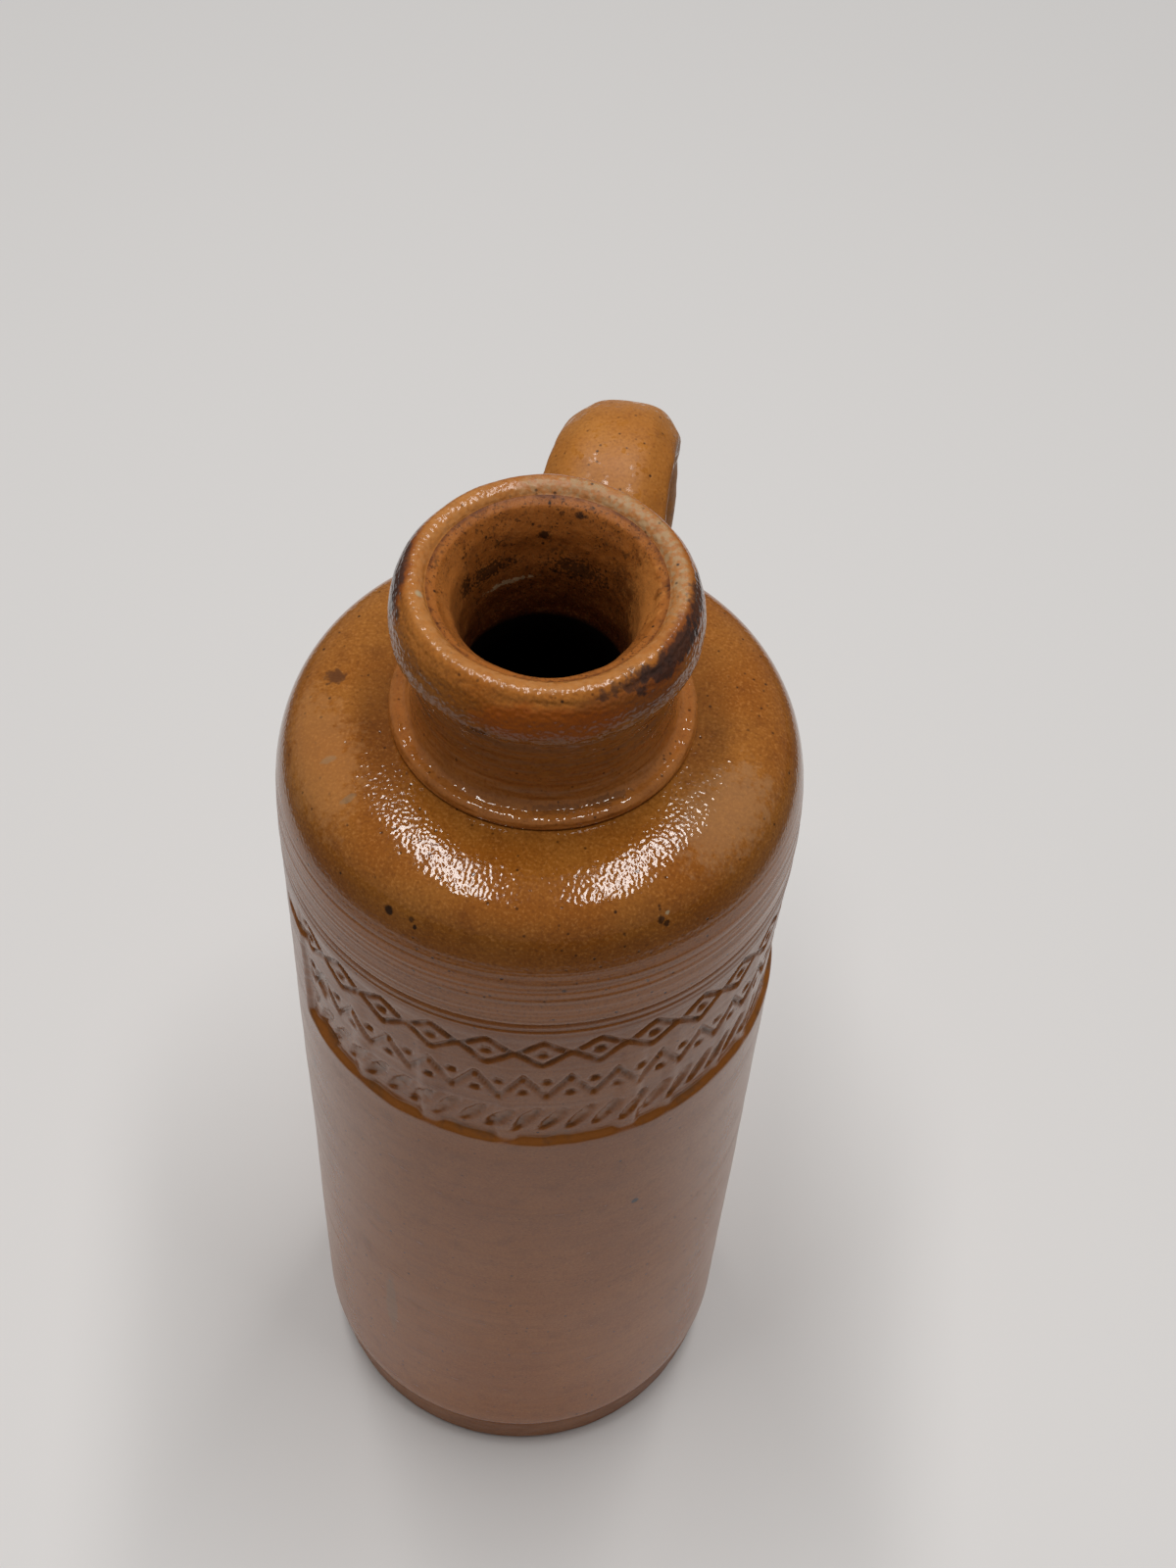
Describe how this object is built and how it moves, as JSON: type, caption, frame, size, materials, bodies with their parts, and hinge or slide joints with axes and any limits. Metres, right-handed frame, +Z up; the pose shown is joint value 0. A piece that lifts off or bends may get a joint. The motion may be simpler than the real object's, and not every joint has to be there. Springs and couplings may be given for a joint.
{
  "type": "stoneware bottle",
  "caption": "Cylindrical salt-glazed stoneware bottle with rounded shoulder, corded neck, rolled lip, impressed patterned panel and a looped strap handle for one finger.",
  "frame": {"origin": "centre of the flat underside of the base", "axes": "+Z up along the bottle's axis, +Y from the axis towards the handle, so the impressed panel faces -Y and +X"},
  "size_m": [0.08, 0.1052, 0.2185],
  "materials": {
    "foot_glaze": "satin",
    "wall_glaze": "gloss",
    "shoulder_glaze": "gloss",
    "neck_glaze": "gloss",
    "lip_glaze": "gloss",
    "handle_glaze": "gloss"
  },
  "bodies": {
    "root": {"base_disc": "foot_glaze", "body_tube": "wall_glaze", "shoulder_dome": "shoulder_glaze", "neck_collar": "neck_glaze", "mouth_ring": "lip_glaze", "handle_strap": "handle_glaze", "handle_upper_luting": "handle_glaze", "handle_lower_luting": "handle_glaze"}
  },
  "joints": []
}
